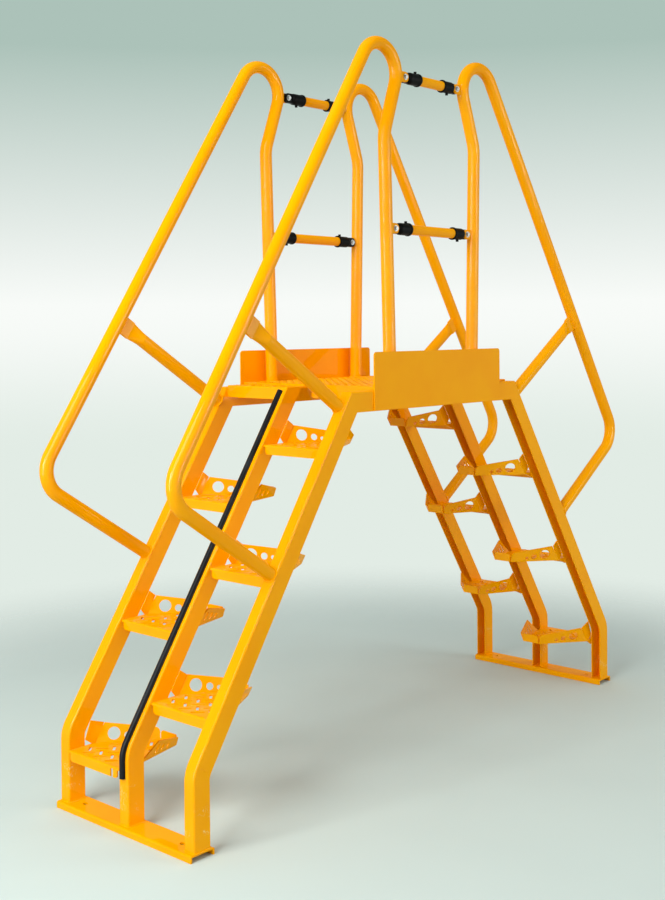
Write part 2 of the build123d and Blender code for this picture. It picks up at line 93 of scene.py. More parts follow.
# Where the tubes meet the stringers and the plate
RAIL_RADIUS = 0.0211
RAIL_Y = 0.269
RAIL_OFFSET = 0.491
POST_X = 0.226
ARM_Z = 0.727
BRACE_Z = 1.198
BRACE_Y = 0.274
BRACE_TOP_Y = 0.2819
BRACE_HALF_FLAT = 0.0042

# Edges of a walking face from the middle of its nose: normal and reach of heel, sides, riser and wing
HEEL_AND_SIDES = ((1.0, 0.0, 0.243), (0.0, 1.0, 0.119), (0.0, -1.0, 0.119))
TREAD_EDGES = {
    "left": (*HEEL_AND_SIDES, (0.644, 0.765, 0.1532), (0.255, -0.967, 0.1367)),
    "right": (*HEEL_AND_SIDES, (0.468, 0.884, 0.1504), (0.483, -0.875, 0.1450)),
}

# Slots that lean one way and the other: first row behind the nose, rows, slots in a row, slant
SLOT_ROWS = ((0.052, 4, 4, 1), (0.027, 4, 5, -1))

# Slots: their middle along the nose, the cut above and below the face, and the round ends' share of
# the width, just under half so that two corners never meet
SLOT_MIDDLE = 0.0035
SLOT_ABOVE = 0.006
SLOT_BELOW = 0.009
SLOT_FILLET = 0.499

# Dots along a nose and their place behind its edge, and the fold of the platform's noses
DOTS = 8
DOT_BEHIND = 0.009
NOSE_FOLD = 0.006

# Distance at which doubled corners merge, and the angle past which an edge stays sharp
MERGE = 0.00001
SMOOTH_ANGLE = 50

# Share of a lens's length that the pattern keeps from the platform's edges
LENS_EDGE = 0.45

# Seam across the right stringer's knee
SEAM_FRONT_Z = 0.253
SEAM_LENGTH = 0.053

# Beads: gap to the tube, half length on a brace's flat, points and swell in shares of ripple and
# radius, and the share of a leg's fold that its bead cuts off
BEAD_CLEAR = 0.0008
BRACE_BEAD_HALF = 0.028
RIPPLE_STEP = 0.34
RIPPLE_SWELL = 0.14
FOLD_CUT = 0.3

# Bolts of the cross bars: x and z of each, and the faces that nuts and heads lie on
BOLT_SPOTS = ((0.143, 2.265), (0.199, 1.765))
NUT_Y = 0.275
HEAD_Y = 0.257
WASHER_THICK = 0.0016

# Shares of a bolt head: its height below the bevel, and the top's radius in its width
HEAD_STRAIGHT = 0.8
HEAD_TOP = 0.4

# Heights between which the pale streaks on the legs set in and die out
STREAK_START = (0.055, 0.075)
STREAK_END = (0.125, 0.145)

# How far dust hides the paint, and how much rougher dust and the pale streaks on the legs make it
DUST_COVER = 0.32
MARK_ROUGH = 0.2

# Upward part of a ray over which the background deepens and then the ceiling sets in, and the
# downward part over which the far floor does
BACK_RISE = (0.02, 0.22)
CEILING_RISE = (0.3, 0.7)
FLOOR_FALL = (-0.02, 0.1)

# Floor disc, and the lamps: place, aim, width, height and power
FLOOR_RADIUS = 16.0
FLOOR_DROP = 0.0005
FLOOR_FADE = (1.5, 3.2)
LAMPS = {
    "key": ((-4.4, -0.5, 3.3), (-0.3, 0.0, 0.9), 2.8, 2.8, 222.0),
    "fill": ((2.8, -4.8, 2.1), (0.2, 0.0, 0.9), 2.6, 2.6, 80.0),
    "top": ((0.4, 0.6, 5.6), (0.0, 0.0, 0.8), 5.0, 5.0, 26.0),
    "back": ((3.6, 3.4, 3.2), (0.0, 0.0, 1.0), 2.0, 2.0, 10.0),
    "strip_left": ((-4.4, 0.5, 1.5), (0.0, 0.0, 1.3), 0.9, 2.6, 200.0),
    "strip_right": ((1.2, -4.6, 1.5), (0.0, 0.0, 1.3), 0.5, 2.6, 110.0),
}

# Camera fitted to the photograph: place, yaw, pitch and roll, focal length and upright shift
CAMERA_PLACE = (-3.329638, -2.794211, 1.443049)
CAMERA_TURN = (48.19, -0.683, -0.45)
CAMERA_LENS = 49.23
CAMERA_SENSOR = 36.0
CAMERA_SHIFT = -0.1197

# Places of a Mix node's colour sockets, because its socket names repeat
MIX_FACTOR, MIX_FIRST, MIX_SECOND, MIX_RESULT = 0, 6, 7, 2


def linear(red, green, blue):
    """Linear colour of 0 to 255 screen values."""
    parts = []
    for part in (red, green, blue):
        part /= 255
        parts.append(part / 12.92 if part <= 0.04045 else ((part + 0.055) / 1.055) ** 2.4)
    return tuple(parts)


def opaque(colour):
    """Colour with full alpha."""
    return (*colour[:3], 1.0)


def shaded(colour, gain, lift=0.0):
    """Opaque colour with its parts multiplied and lifted."""
    return opaque([part * gain + lift for part in colour])


def slope_x(z):
    """X of the west stringers' front face at a height on the slope."""
    return -LEG_FRONT + (z - KNEE_Z) / math.tan(SLOPE)


class Wire:
    """One socket of a node tree. Arithmetic on wires adds Math nodes to that tree."""

    def __init__(self, tree, socket=None):
        self.tree = tree
        self.socket = socket

    def node(self, kind, settings=None, sockets=None, out=0):
        """Adds a node of any type: its settings first, then the values or links of its sockets.

        A list of wires is linked to a socket that takes several.
        """
        made = self.tree.nodes.new(kind)
        for name, value in (settings or {}).items():
            setattr(made, name, value)
        for key, value in (sockets or {}).items():
            if isinstance(value, Wire):
                value = [value]
            if isinstance(value, list):
                for wire in value:
                    self.tree.links.new(wire.socket, made.inputs[key])
            else:
                made.inputs[key].default_value = value
        return Wire(self.tree, made.outputs[out] if len(made.outputs) else None)

    def maths(self, operation, *values):
        """One Math node on the values given."""
        return self.node("ShaderNodeMath", {"operation": operation}, dict(enumerate(values)))

    def __add__(self, other):
        return self.maths("ADD", self, other)

    def __radd__(self, other):
        return self.maths("ADD", other, self)

    def __sub__(self, other):
        return self.maths("SUBTRACT", self, other)

    def __rsub__(self, other):
        return self.maths("SUBTRACT", other, self)

    def __mul__(self, other):
        return self.maths("MULTIPLY", self, other)

    def __rmul__(self, other):
        return self.maths("MULTIPLY", other, self)

    def __truediv__(self, other):
        return self.maths("DIVIDE", self, other)

    def __rtruediv__(self, other):
        return self.maths("DIVIDE", other, self)


def blend(wire, factor, first, second):
    """Mix node between two colours."""
    sockets = {MIX_FACTOR: factor, MIX_FIRST: first, MIX_SECOND: second}
    return wire.node("ShaderNodeMix", {"data_type": "RGBA"}, sockets, out=MIX_RESULT)


def noise(wire, place, scale, detail, rough=0.5):
    """Noise texture's value."""
    sockets = {"Vector": place, "Scale": scale, "Detail": detail, "Roughness": rough}
    return wire.node("ShaderNodeTexNoise", None, sockets)


def step(wire, value, low, high):
    """Value taken smoothly from 0 at low to 1 at high."""
    sockets = {"Value": value, "From Min": low, "From Max": high}
    return wire.node("ShaderNodeMapRange", {"interpolation_type": "SMOOTHSTEP"}, sockets)


def new_material(name):
    """Empty node material, with a wire to add nodes by."""
    material = bpy.data.materials.new(name)
    material.use_nodes = True
    material.node_tree.nodes.clear()
    return material, Wire(material.node_tree)


def surfaced(wire, sockets):
    """Principled shader as a material's surface."""
    shader = wire.node("ShaderNodeBsdfPrincipled", None, sockets)
    wire.node("ShaderNodeOutputMaterial", None, {"Surface": shader})


def object_place(wire):
    """Object coordinates."""
    return wire.node("ShaderNodeTexCoord", out="Object")


class LadderFinish(bpy.types.PropertyGroup):
    """Colours and finishes of the ladder."""

    paint_colour: bpy.props.FloatVectorProperty(
        name="Paint", description="Powder coat colour",
        subtype="COLOR", size=3, default=linear(255, 173, 0),
    )
    shade_colour: bpy.props.FloatVectorProperty(
        name="Paint, deeper", description="Powder coat where it lies thin",
        subtype="COLOR", size=3, default=linear(253, 166, 0),
    )
    # Colour of the pale hairline streaks low on the legs
    streak_colour: bpy.props.FloatVectorProperty(
        name="Streaks", description="Pale scratches on the legs",
        subtype="COLOR", size=3, default=linear(255, 226, 150),
    )
    dust_colour: bpy.props.FloatVectorProperty(
        name="Dust", description="Dry smears on walking faces",
        subtype="COLOR", size=3, default=linear(238, 186, 132),
    )
    rubber_colour: bpy.props.FloatVectorProperty(
        name="Rubber", description="Strip on the centre stringers",
        subtype="COLOR", size=3, default=linear(17, 20, 23),
    )
    plastic_colour: bpy.props.FloatVectorProperty(
        name="Plastic", description="Sockets of the cross bars",
        subtype="COLOR", size=3, default=linear(13, 14, 14),
    )
    zinc_colour: bpy.props.FloatVectorProperty(
        name="Zinc", description="Plated bolts and nuts",
        subtype="COLOR", size=3, default=linear(196, 198, 198),
    )
    peel: bpy.props.FloatProperty(
        name="Orange peel", description="Depth of the powder coat's texture",
        subtype="DISTANCE", unit="LENGTH", default=0.0002, min=0.0, max=0.002,
    )


class LadderGrip(bpy.types.PropertyGroup):
    """Grip of the treads and the platform."""

    slot_length: bpy.props.FloatProperty(
        name="Slot length", description="Length of a slot in a tread", unit="LENGTH", default=0.042
    )
    slot_width: bpy.props.FloatProperty(
        name="Slot width", description="Width of a slot in a tread", unit="LENGTH", default=0.0105
    )
    pitch_deep: bpy.props.FloatProperty(
        name="Slot pitch, deep", description="Slot pitch from the nose to the heel",
        unit="LENGTH", default=0.050,
    )
    pitch_wide: bpy.props.FloatProperty(
        name="Slot pitch, wide", description="Slot pitch along the nose", unit="LENGTH", default=0.053
    )
    slot_rim: bpy.props.FloatProperty(
        name="Slot rim", description="Radius of the raised rim round a slot",
        unit="LENGTH", default=0.0013,
    )
    web: bpy.props.FloatProperty(
        name="Web", description="Least metal between a slot and an edge", unit="LENGTH", default=0.004
    )
    dot: bpy.props.FloatProperty(
        name="Nose dot", description="Width of a raised dot on the nose", unit="LENGTH", default=0.006
    )
    dot_pitch: bpy.props.FloatProperty(
        name="Dot pitch", description="Pitch of the dots on the nose", unit="LENGTH", default=0.0265
    )
    lens_length: bpy.props.FloatProperty(
        name="Lens length", description="Length of a raised lens on the platform",
        unit="LENGTH", default=0.024,
    )
    lens_width: bpy.props.FloatProperty(
        name="Lens width", description="Width of a raised lens on the platform",
        unit="LENGTH", default=0.0085,
    )
    lens_height: bpy.props.FloatProperty(
        name="Lens height", description="Height of a raised lens on the platform",
        unit="LENGTH", default=0.0016,
    )
    lens_pitch: bpy.props.FloatProperty(
        name="Lens pitch", description="Pitch of lenses that lie the same way",
        unit="LENGTH", default=0.034,
    )


class LadderWelds(bpy.types.PropertyGroup):
    """Sizes of the weld beads."""

    bead: bpy.props.FloatProperty(
        name="Bead", description="Radius of a weld bead",
        unit="LENGTH", default=0.0028,
    )
    ripple: bpy.props.FloatProperty(
        name="Ripple pitch", description="Pitch of a bead's ripples", unit="LENGTH", default=0.0042
    )
    seam: bpy.props.FloatProperty(
        name="Seam", description="Radius of the ground seam at a knee", unit="LENGTH", default=0.0009
    )


class LadderFixings(bpy.types.PropertyGroup):
    """Sizes of the bolts through the cross bars' lugs."""

    corners: bpy.props.FloatProperty(
        name="Across corners", description="Bolt head across its corners", unit="LENGTH", default=0.0150
    )
    head: bpy.props.FloatProperty(
        name="Head height", description="Height of a bolt head",
        unit="LENGTH", default=0.0055,
    )
    washer: bpy.props.FloatProperty(
        name="Washer", description="Washer across",
        unit="LENGTH", default=0.0200,
    )


class LadderStudio(bpy.types.PropertyGroup):
    """Floor, background and light."""

    floor_colour: bpy.props.FloatVectorProperty(
        name="Floor", description="Pale floor", subtype="COLOR", size=3, default=linear(203, 219, 213)
    )
    far_colour: bpy.props.FloatVectorProperty(
        name="Floor, far", description="Floor far from the ladder",
        subtype="COLOR", size=3, default=linear(226, 236, 229),
    )
    ceiling_colour: bpy.props.FloatVectorProperty(
        name="Ceiling", description="Background overhead",
        subtype="COLOR", size=3, default=linear(96, 110, 104),
    )
    back_colour: bpy.props.FloatVectorProperty(
        name="Background", description="Pale background",
        subtype="COLOR", size=3, default=linear(248, 251, 248),
    )
    top_colour: bpy.props.FloatVectorProperty(
        name="Background, top", description="Background high up",
        subtype="COLOR", size=3, default=linear(172, 194, 185),
    )
    ambient: bpy.props.FloatProperty(
        name="Ambient", description="Light from all round",
        default=0.44, min=0.0,
    )


def paint_material(name, scuffed=False, dusty=False):
    """Glossy powder coat with a fine orange peel; legs carry pale hairline streaks and walking faces carry
    dust.
    """
    finish = bpy.context.scene.ladder_finish
    material, wire = new_material(name)
    place = object_place(wire)
    cloud = noise(wire, place, scale=5.0, detail=3.0)
    peel = noise(wire, place, scale=320.0, detail=2.0)
    thin = step(wire, cloud, 0.35, 0.7)
    colour = blend(wire, thin, opaque(finish.paint_colour), opaque(finish.shade_colour))
    rough = 0.42 + 0.12 * cloud
    # Pale hairline streaks in a patch low on the legs, a little rougher than the paint
    if scuffed:
        marks = streaks(wire, place)
        colour = blend(wire, marks, colour, opaque(finish.streak_colour))
        rough = rough + MARK_ROUGH * marks
    if dusty:
        smears = dust(wire, place)
        colour = blend(wire, DUST_COVER * smears, colour, opaque(finish.dust_colour))
        rough = rough + MARK_ROUGH * smears
    bump = wire.node("ShaderNodeBump", None, {"Strength": 0.1, "Distance": finish.peel, "Height": peel})
    surfaced(wire, {
        "Base Color": colour,
        "Roughness": rough,
        "Normal": bump,
        "Specular IOR Level": 0.0,
        "Coat Weight": 0.25,
        "Coat Roughness": 0.03,
    })
    return material


def stretched(wire, place, turn, scale):
    """Place turned and stretched, for marks that run one way."""
    return wire.node("ShaderNodeMapping", None, {"Vector": place, "Rotation": turn, "Scale": scale})


def streaks(wire, place):
    """Pale hairline streaks in a patch low on each leg."""
    height = wire.node("ShaderNodeSeparateXYZ", None, {0: place}, out="Z")
    patch = step(wire, height, *STREAK_START) * (1.0 - step(wire, height, *STREAK_END))
    cluster = step(wire, noise(wire, place, scale=19.0, detail=2.0), 0.48, 0.58)
    slanted = stretched(wire, place, (0.5, 0.5, 0.5), (95.0, 140.0, 60.0))
    field = noise(wire, slanted, scale=1.0, detail=2.0, rough=0.6)
    hairlines = 1.0 - step(wire, wire.maths("ABSOLUTE", field - 0.5), 0.006, 0.018)
    return patch * cluster * hairlines


def dust(wire, place):
    """Dry smears on faces that look up."""
    facing = wire.node("ShaderNodeNewGeometry", out="Normal")
    up = wire.node("ShaderNodeSeparateXYZ", None, {0: facing}, out="Z")
    wide = step(wire, noise(wire, place, scale=17.0, detail=4.0, rough=0.6), 0.5, 0.66)
    brushed = stretched(wire, place, (0.0, 0.0, 0.6), (60.0, 240.0, 60.0))
    fine = step(wire, noise(wire, brushed, scale=1.0, detail=3.0), 0.4, 0.7)
    return step(wire, up, 0.8, 0.95) * wide * (0.35 + 0.65 * fine)


def rubber_material(name):
    """Extruded black rubber, dull, with a fine grain and dusty patches."""
    finish = bpy.context.scene.ladder_finish
    material, wire = new_material(name)
    place = object_place(wire)
    grain = noise(wire, place, scale=260.0, detail=3.0)
    cloud = noise(wire, place, scale=14.0, detail=3.0)
    dark = opaque(finish.rubber_colour)
    dusty = shaded(finish.rubber_colour, gain=1.9, lift=0.004)
    colour = blend(wire, step(wire, cloud, 0.45, 0.8), dark, dusty)
    bump = wire.node("ShaderNodeBump", None, {"Strength": 0.3, "Distance": 0.0002, "Height": grain})
    surfaced(wire, {
        "Base Color": colour,
        "Roughness": 0.36 + 0.15 * cloud,
        "Normal": bump,
        "Specular IOR Level": 0.12,
    })
    return material


def plastic_material(name):
    """Moulded black plastic with a fine spark grain."""
    finish = bpy.context.scene.ladder_finish
    material, wire = new_material(name)
    place = object_place(wire)
    grain = noise(wire, place, scale=900.0, detail=2.0)
    cloud = noise(wire, place, scale=30.0, detail=2.0)
    dark = opaque(finish.plastic_colour)
    pale = shaded(finish.plastic_colour, gain=1.7)
    colour = blend(wire, step(wire, cloud, 0.4, 0.8), dark, pale)
    bump = wire.node("ShaderNodeBump", None, {"Strength": 0.4, "Distance": 0.0002, "Height": grain})
    surfaced(wire, {
        "Base Color": colour,
        "Roughness": 0.3 + 0.12 * cloud,
        "Normal": bump,
        "Specular IOR Level": 0.05,
    })
    return material


def zinc_material(name):
    """Bright zinc plating."""
    finish = bpy.context.scene.ladder_finish
    material, wire = new_material(name)
    place = object_place(wire)
    cloud = noise(wire, place, scale=160.0, detail=3.0)
    bright = opaque(finish.zinc_colour)
    dull = shaded(finish.zinc_colour, gain=0.7)
    colour = blend(wire, step(wire, cloud, 0.4, 0.75), bright, dull)
    surfaced(wire, {"Base Color": colour, "Metallic": 1.0, "Roughness": 0.24 + 0.2 * cloud})
    return material


def material_of(name, maker, **options):
    """Material by name, made the first time."""
    return bpy.data.materials.get(name) or maker(name, **options)


def geometry_tree(name, inputs):
    """Empty geometry node tree with named inputs; gives the tree, a wire and the wires of its inputs."""
    tree = bpy.data.node_groups.new(name, "GeometryNodeTree")
    for label, kind in inputs.items():
        tree.interface.new_socket(label, in_out="INPUT", socket_type="NodeSocket" + kind)
    tree.interface.new_socket("Geometry", in_out="OUTPUT", socket_type="NodeSocketGeometry")
    wire = Wire(tree)
    return tree, wire, {label: wire.node("NodeGroupInput", out=label) for label in inputs}


def joined(wire, parts):
    """Join Geometry node on a list of parts."""
    return wire.node("GeometryNodeJoinGeometry", None, {"Geometry": parts})


def finish_tree(wire, geometry, material):
    """Ends a tree in Realize Instances and Set Material."""
    real = wire.node("GeometryNodeRealizeInstances", None, {"Geometry": geometry})
    painted = wire.node("GeometryNodeSetMaterial", None, {"Geometry": real, "Material": material})
    wire.node("NodeGroupOutput", None, {"Geometry": painted})


def run_tree(name, mesh, tree, values):
    """Plain mesh object that a tree makes from a mesh, with the modifier's inputs set first."""
    seed = bpy.data.objects.new(name + "_seed", mesh)
    bpy.context.scene.collection.objects.link(seed)
    modifier = seed.modifiers.new("Nodes", "NODES")
    modifier.node_group = tree
    for item in tree.interface.items_tree:
        if item.in_out == "INPUT" and item.name in values:
            modifier[item.identifier] = values[item.name]
    evaluated = seed.evaluated_get(bpy.context.evaluated_depsgraph_get())
    made = bpy.data.meshes.new_from_object(evaluated)
    seed.modifiers.remove(modifier)
    bpy.data.objects.remove(seed)
    made.name = name
    piece = bpy.data.objects.new(name, made)
    bpy.context.scene.collection.objects.link(piece)
    return piece


def settle(piece):
    """Makes a piece ride on the ladder's root body."""
    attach(piece, "root")


def point_mesh(name, places):
    """Mesh of loose points, each with the way it faces."""
    mesh = bpy.data.meshes.new(name)
    mesh.from_pydata([place for place, facing in places], [], [])
    facing = mesh.attributes.new("facing", "FLOAT_VECTOR", "POINT")
    for index, (place, way) in enumerate(places):
        facing.data[index].vector = way
    return mesh


class LADDER_OT_paint(bpy.types.Operator):
    """Finishes every solid of the frame."""

    bl_idname = "ladder.paint"
    bl_label = "Paint the solids"

    def execute(self, context):
        paint = material_of("yellow_powder_coat", paint_material)
        finishes = {
            "stringer": material_of("scuffed_powder_coat", paint_material, scuffed=True),
            "platform": material_of("dusty_powder_coat", paint_material, dusty=True),
            "rubber_strip": material_of("strip_rubber", rubber_material),
            "bar_sockets": material_of("socket_plastic", plastic_material),
        }
        for name, node in NODES.items():
            own = [finish for start, finish in finishes.items() if name.startswith(start)]
            finish = own[0] if own else paint
            for slot in node.material_slots:
                slot.material = finish
        return {"FINISHED"}


def bolt_tree(material):
    """Hex head on a round washer, set on each point and turned the way the point faces."""
    inputs = {"Points": "Geometry", "Across": "Float", "Head": "Float", "Washer": "Float"}
    tree, wire, given = geometry_tree("bar_bolts", inputs)
    across, head = given["Across"], given["Head"]
    sockets = {"Vertices": 28, "Radius": given["Washer"] * 0.5, "Depth": WASHER_THICK}
    washer = wire.node("GeometryNodeMeshCylinder", None, sockets)
    sockets = {"Geometry": washer, "Translation": (0, 0, WASHER_THICK / 2)}
    washer = wire.node("GeometryNodeTransform", None, sockets)
    sockets = {"Vertices": 6, "Radius": across * 0.5, "Depth": head * HEAD_STRAIGHT}
    lower = wire.node("GeometryNodeMeshCylinder", None, sockets)
    rise = wire.node("ShaderNodeCombineXYZ", None, {"Z": head * (HEAD_STRAIGHT / 2) + WASHER_THICK})
    lower = wire.node("GeometryNodeTransform", None, {"Geometry": lower, "Translation": rise})
    sockets = {
        "Vertices": 6,
        "Radius Top": across * HEAD_TOP,
        "Radius Bottom": across * 0.5,
        "Depth": head * (1 - HEAD_STRAIGHT),
    }
    cap = wire.node("GeometryNodeMeshCone", None, sockets)
    rise = wire.node("ShaderNodeCombineXYZ", None, {"Z": head * HEAD_STRAIGHT + WASHER_THICK})
    cap = wire.node("GeometryNodeTransform", None, {"Geometry": cap, "Translation": rise})
    whole = joined(wire, [washer, lower, cap])
    facing = wire.node("GeometryNodeInputNamedAttribute", {"data_type": "FLOAT_VECTOR"}, {"Name": "facing"})
    turn = wire.node("FunctionNodeAlignRotationToVector", {"axis": "Z"}, {"Vector": facing}, out="Rotation")
    sockets = {"Points": given["Points"], "Instance": whole, "Rotation": turn}
    placed = wire.node("GeometryNodeInstanceOnPoints", None, sockets)
    finish_tree(wire, placed, material)
    return tree


class LADDER_OT_bolts(bpy.types.Operator):
    """Adds the bolts and nuts through the cross bars' lugs."""

    bl_idname = "ladder.bolts"
    bl_label = "Cross bar bolts"

    def execute(self, context):
        sizes = context.scene.ladder_fixings
        zinc = material_of("bright_zinc", zinc_material)
        places = []
        for bolt_x, z in BOLT_SPOTS:
            for x in (-bolt_x, bolt_x):
                for side in (-1, 1):
                    places.append(((x, side * NUT_Y, z), (0, side, 0)))
                    places.append(((x, side * HEAD_Y, z), (0, -side, 0)))
        values = {"Across": sizes.corners, "Head": sizes.head, "Washer": sizes.washer}
        piece = run_tree("bar_bolts", point_mesh("bar_bolts", places), bolt_tree(zinc), values)
        settle(piece)
        return {"FINISHED"}


def clean_copy(name, node):
    """Closed plain copy of a solid's mesh, with its doubled corners merged."""
    form = bmesh.new()
    form.from_mesh(node.data)
    bmesh.ops.remove_doubles(form, verts=form.verts, dist=MERGE)
    form.verts.index_update()
    corners = [corner.co[:] for corner in form.verts]
    faces = [[corner.index for corner in face.verts] for face in form.faces]
    form.free()
    mesh = bpy.data.meshes.new(name)
    mesh.from_pydata(corners, [], faces)
    return mesh


def smooth_but(mesh, angle):
    """Smooth shading that keeps edges sharper than the angle."""
    mesh.shade_smooth()
    mesh.set_sharp_from_angle(angle=math.radians(angle))


def slot_outline(wire, length, width):
    """Closed outline of a slot, round at both ends."""
    outline = wire.node("GeometryNodeCurvePrimitiveQuadrilateral", None, {"Width": length, "Height": width})
    sockets = {"Curve": outline, "Count": 4, "Radius": width * SLOT_FILLET}
    return wire.node("GeometryNodeFilletCurve", {"mode": "POLY"}, sockets)


def inside(wire, point_x, point_y, line, along, length, width, web):
    """1 where a slot that lies along a way stays clear of an edge; line is the edge's normal and reach."""
    normal_x, normal_y, reach = line
    lean = abs(normal_x * along[0] + normal_y * along[1])
    need = (length - width) * (0.5 * lean) + width * 0.5 + web
    return wire.maths("LESS_THAN", point_x * normal_x + point_y * normal_y + need, reach)


def tread_tree(name, edges, material):
    """Slots cut through a tread in a basket weave, with raised rims, and dots along its nose."""
    tree, wire, given = geometry_tree(name, {
        "Tread": "Geometry", "Nose": "Vector", "Turn": "Vector",
        "Slot length": "Float", "Slot width": "Float", "Pitch deep": "Float", "Pitch wide": "Float",
        "Rim": "Float", "Web": "Float", "Dot": "Float", "Dot pitch": "Float",
    })
    length, width = given["Slot length"], given["Slot width"]
    deep, wide = given["Pitch deep"], given["Pitch wide"]
    outline = slot_outline(wire, length, width)
    sockets = {"Start": (0, 0, -SLOT_BELOW), "End": (0, 0, SLOT_ABOVE)}
    line = wire.node("GeometryNodeCurvePrimitiveLine", None, sockets)
    sockets = {"Curve": line, "Profile Curve": outline, "Fill Caps": True}
    cutter = wire.node("GeometryNodeCurveToMesh", None, sockets)
    wall = wire.node("GeometryNodeCurvePrimitiveCircle", None, {"Resolution": 8, "Radius": given["Rim"]})
    rim = wire.node("GeometryNodeCurveToMesh", None, {"Curve": outline, "Profile Curve": wall})
    cutters, rims = [], []
    for first_deep, rows, across, slant in SLOT_ROWS:
        sockets = {
            "Size X": deep * (rows - 1), "Size Y": wide * (across - 1),
            "Vertices X": rows, "Vertices Y": across,
        }
        grid = wire.node("GeometryNodeMeshGrid", None, sockets)
        behind = deep * (0.5 * (rows - 1)) + first_deep
        middle = wire.node("ShaderNodeCombineXYZ", None, {"X": behind, "Y": SLOT_MIDDLE})
        grid = wire.node("GeometryNodeTransform", None, {"Geometry": grid, "Translation": middle})
        place = wire.node("GeometryNodeInputPosition")
        point_x = wire.node("ShaderNodeSeparateXYZ", None, {0: place}, out="X")
        point_y = wire.node("ShaderNodeSeparateXYZ", None, {0: place}, out="Y")
        along = (math.sqrt(0.5), slant * math.sqrt(0.5))
        keep = None
        for edge in edges:
            clear = inside(wire, point_x, point_y, edge, along, length, width, given["Web"])
            keep = clear if keep is None else keep * clear
        turn = (0.0, 0.0, slant * math.pi / 4)
        for made, shape in ((cutters, cutter), (rims, rim)):
            sockets = {"Points": grid, "Selection": keep, "Instance": shape, "Rotation": turn}
            made.append(wire.node("GeometryNodeInstanceOnPoints", None, sockets))
    sockets = {"Count": DOTS, "Offset": (0.0, 0.0, 0.0)}
    dots = wire.node("GeometryNodeMeshLine", {"mode": "OFFSET"}, sockets)
    index = wire.node("GeometryNodeInputIndex")
    along_nose = (index - (DOTS - 1) / 2) * given["Dot pitch"]
    spot = wire.node("ShaderNodeCombineXYZ", None, {"X": DOT_BEHIND, "Y": along_nose})
    dots = wire.node("GeometryNodeSetPosition", None, {"Geometry": dots, "Position": spot})
    sockets = {"Segments": 10, "Rings": 6, "Radius": given["Dot"] * 0.5}
    button = wire.node("GeometryNodeMeshUVSphere", None, sockets)
    button = wire.node("GeometryNodeTransform", None, {"Geometry": button, "Scale": (1.0, 1.0, 0.5)})
    dots = wire.node("GeometryNodeInstanceOnPoints", None, {"Points": dots, "Instance": button})

    def placed(parts):
        """Parts joined, made real and set on the tread."""
        real = wire.node("GeometryNodeRealizeInstances", None, {"Geometry": joined(wire, parts)})
        sockets = {"Geometry": real, "Translation": given["Nose"], "Rotation": given["Turn"]}
        return wire.node("GeometryNodeTransform", None, sockets)

    sockets = {"Mesh 1": given["Tread"], "Mesh 2": placed(cutters)}
    cut = wire.node("GeometryNodeMeshBoolean", {"operation": "DIFFERENCE"}, sockets)
    finish_tree(wire, joined(wire, [cut, placed(rims + [dots])]), material)
    return tree


class LADDER_OT_treads(bpy.types.Operator):
    """Puts a slotted tread in place of each plain one."""

    bl_idname = "ladder.treads"
    bl_label = "Slotted treads"

    def execute(self, context):
        grip = context.scene.ladder_grip
        paint = material_of("dusty_powder_coat", paint_material, dusty=True)
        trees = {}
        for column, edges in TREAD_EDGES.items():
            trees[column] = tread_tree("slotted_tread_" + column, edges, paint)
        values = {
            "Slot length": grip.slot_length,
            "Slot width": grip.slot_width,
            "Pitch deep": grip.pitch_deep,
            "Pitch wide": grip.pitch_wide,
            "Rim": grip.slot_rim,
            "Web": grip.web,
            "Dot": grip.dot,
            "Dot pitch": grip.dot_pitch,
        }
        for flight in FLIGHTS:
            west = flight == "west"
            for number in range(1, TREADS + 1):
                node = f"tread_{flight}_{number}"
                low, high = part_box(node)
                column = "left" if number % 2 == 1 else "right"
                side = 1 if (column == "left") == west else -1
                values["Nose"] = (low.x if west else high.x, side * COLUMN, number * RISE)
                values["Turn"] = (0.0, 0.0, 0.0 if west else math.pi)
                name = "slotted_" + node
                piece = run_tree(name, clean_copy(name, NODES[node]), trees[column], values)
                if len(piece.data.polygons) <= len(NODES[node].data.polygons) // 2:
                    raise RuntimeError("no slots were cut in " + node)
                smooth_but(piece.data, SMOOTH_ANGLE)
                settle(piece)
                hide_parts(node)
        return {"FINISHED"}


def lens_tree(material):
    """Raised lenses in a basket weave over a level rectangle."""
    tree, wire, given = geometry_tree("platform_grip", {
        "Area": "Geometry", "Middle": "Vector", "Rows": "Int", "Columns": "Int",
        "Pitch": "Float", "Length": "Float", "Width": "Float", "Height": "Float",
    })
    pitch = given["Pitch"]
    sockets = {"X": given["Length"] * 0.5, "Y": given["Width"] * 0.5, "Z": given["Height"]}
    scale = wire.node("ShaderNodeCombineXYZ", None, sockets)
    lens = wire.node("GeometryNodeMeshUVSphere", None, {"Segments": 8, "Rings": 6, "Radius": 1.0})
    lens = wire.node("GeometryNodeTransform", None, {"Geometry": lens, "Scale": scale})
    fields = []
    for fewer, slant in ((0, 1), (1, -1)):
        rows, columns = given["Rows"] - fewer, given["Columns"] - fewer
        sockets = {
            "Size X": pitch * (rows - 1), "Size Y": pitch * (columns - 1),
            "Vertices X": rows, "Vertices Y": columns,
        }
        grid = wire.node("GeometryNodeMeshGrid", None, sockets)
        grid = wire.node("GeometryNodeTransform", None, {"Geometry": grid, "Translation": given["Middle"]})
        turn = (0.0, 0.0, slant * math.pi / 4)
        sockets = {"Points": grid, "Instance": lens, "Rotation": turn}
        fields.append(wire.node("GeometryNodeInstanceOnPoints", None, sockets))
    finish_tree(wire, joined(wire, fields), material)
    return tree


